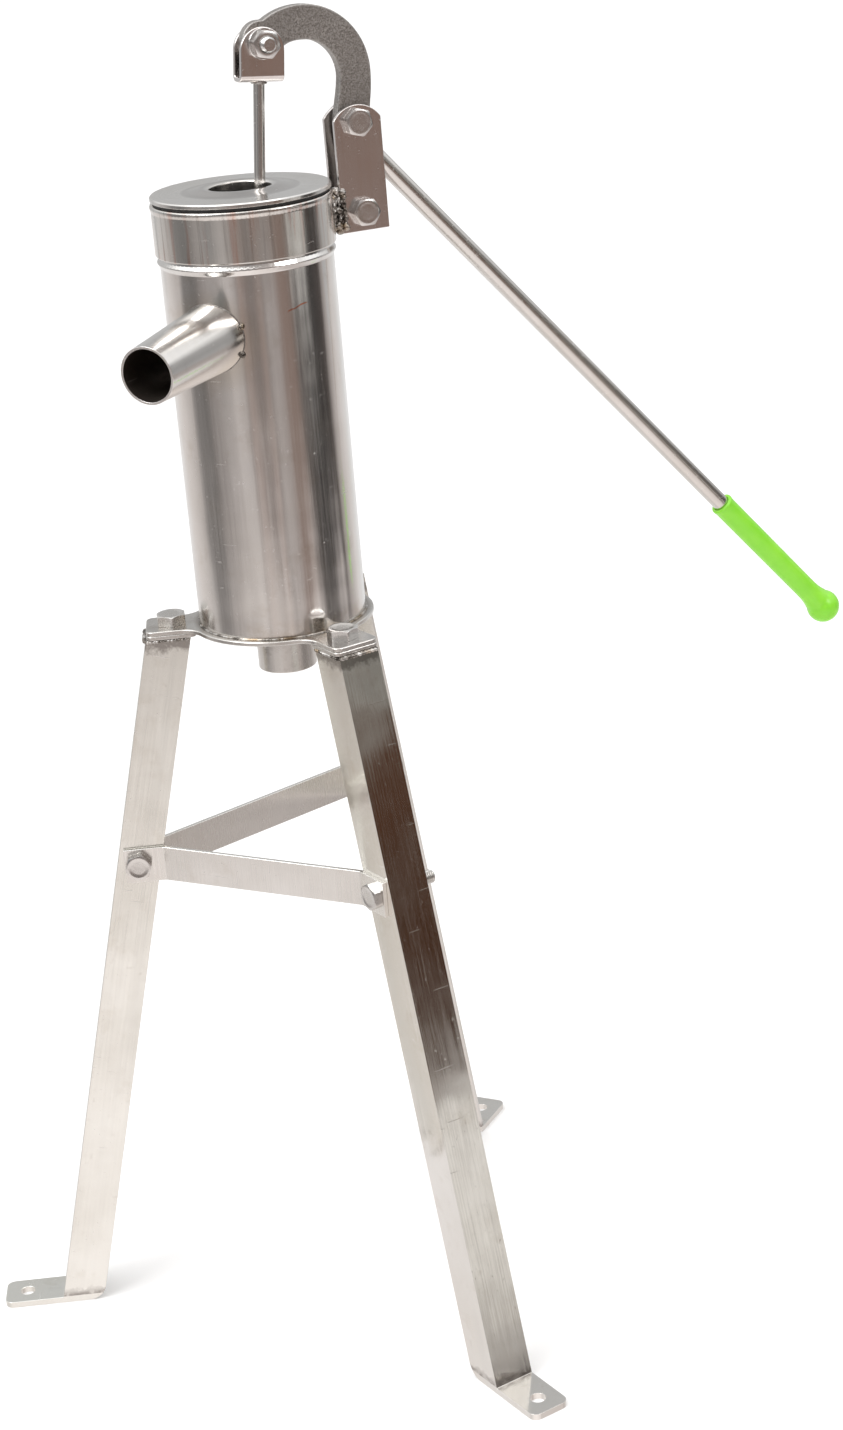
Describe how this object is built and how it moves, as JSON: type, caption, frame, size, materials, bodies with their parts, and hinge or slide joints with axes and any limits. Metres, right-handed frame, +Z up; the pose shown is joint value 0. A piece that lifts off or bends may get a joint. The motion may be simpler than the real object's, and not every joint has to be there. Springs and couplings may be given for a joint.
{
  "type": "hand well pump",
  "caption": "Tripod-mounted hand lift pump: steel barrel with side spout, gooseneck lever in a bracket, long handle with a green grip, and a valved piston inside.",
  "frame": {"origin": "centre of the circle of the three foot anchor holes, on the ground", "axes": "+Z up along the barrel axis, -Y along the spout; the lever's plane stands 50 degrees from +X towards +Y"},
  "size_m": [0.5156, 0.4804, 0.9162],
  "materials": {
    "stainless_polished": "polished tube with long soft streaks",
    "stainless_satin": "bright satin, mill-rolled",
    "stainless_bracket": "polished plate",
    "zinc_grey": "grainy zinc-grey",
    "fastener_steel": "bright fasteners",
    "bright_rod": "drawn bright bar",
    "green_plastic": "smooth gloss",
    "black_rubber": "matte",
    "oiled_leather": "oiled",
    "brass": "machined"
  },
  "bodies": {
    "pump_body": {"barrel": "stainless_polished", "base_flange": "stainless_satin", "brace_bolts": "fastener_steel", "brace_front": "stainless_satin", "brace_left": "stainless_satin", "brace_nuts": "fastener_steel", "brace_right": "stainless_satin", "brace_washers": "fastener_steel", "bracket_nuts": "fastener_steel", "bracket_plate_far": "stainless_bracket", "bracket_plate_near": "stainless_bracket", "bracket_washers": "fastener_steel", "bracket_web": "stainless_bracket", "clamp_bolt": "fastener_steel", "clamp_sleeve": "stainless_bracket", "collar": "stainless_polished", "flange_bolts": "fastener_steel", "flange_nuts": "fastener_steel", "flange_washers": "fastener_steel", "foot_valve_screws": "fastener_steel", "foot_valve_seat": "brass", "inlet_stub": "stainless_polished", "leg_front_left": "stainless_satin", "leg_front_right": "stainless_satin", "leg_rear": "stainless_satin", "leg_top_tabs": "stainless_satin", "lid": "stainless_polished", "lid_seal": "black_rubber", "pivot_bolt": "fastener_steel", "spout": "stainless_polished"},
    "lever": {"gooseneck_arm": "zinc_grey", "pivot_bush": "brass", "handle_rod": "bright_rod", "hand_grip": "green_plastic"},
    "rod": {"clevis": "stainless_bracket", "clevis_bolt": "fastener_steel", "clevis_washer": "fastener_steel", "clevis_nut": "fastener_steel", "pump_rod": "bright_rod", "rod_foot_eye": "fastener_steel", "rod_foot_pin": "fastener_steel"},
    "piston": {"piston_yoke": "brass", "piston_lower_plate": "brass", "piston_cup_leather": "oiled_leather", "piston_clamp_ring": "brass", "piston_ring_screws": "fastener_steel", "piston_nut": "fastener_steel"},
    "piston_valve": {"piston_valve_disc": "black_rubber"},
    "foot_valve": {"foot_valve_disc": "black_rubber", "foot_valve_stem": "brass", "foot_valve_clip": "fastener_steel"}
  },
  "joints": [
    {"name": "lever_pivot", "type": "hinge", "parent": "pump_body", "child": "lever", "pos_m": [0.05213, 0.06213, 0.8385], "axis": [0.766, -0.6428, 0], "range_deg": [0, 60]},
    {"name": "clevis_pin", "type": "hinge", "parent": "lever", "child": "rod", "pos_m": [0.0144, 0.01716, 0.8952], "axis": [0.766, -0.6428, 0], "range_deg": [-53.4, 0]},
    {"name": "piston_slide", "type": "slide", "parent": "pump_body", "child": "piston", "axis": [0, 0, -1], "range_m": [0, 0.0796]},
    {"name": "piston_valve_lift", "type": "slide", "parent": "piston", "child": "piston_valve", "axis": [0, 0, 1], "range_m": [0, 0.0045]},
    {"name": "foot_valve_lift", "type": "slide", "parent": "pump_body", "child": "foot_valve", "axis": [0, 0, 1], "range_m": [0, 0.006]}
  ],
  "couplings": [
    {"joint": "clevis_pin", "follows": "lever_pivot", "ratio": -0.89},
    {"joint": "piston_slide", "follows": "lever_pivot", "m_per_rad": 0.076012}
  ]
}
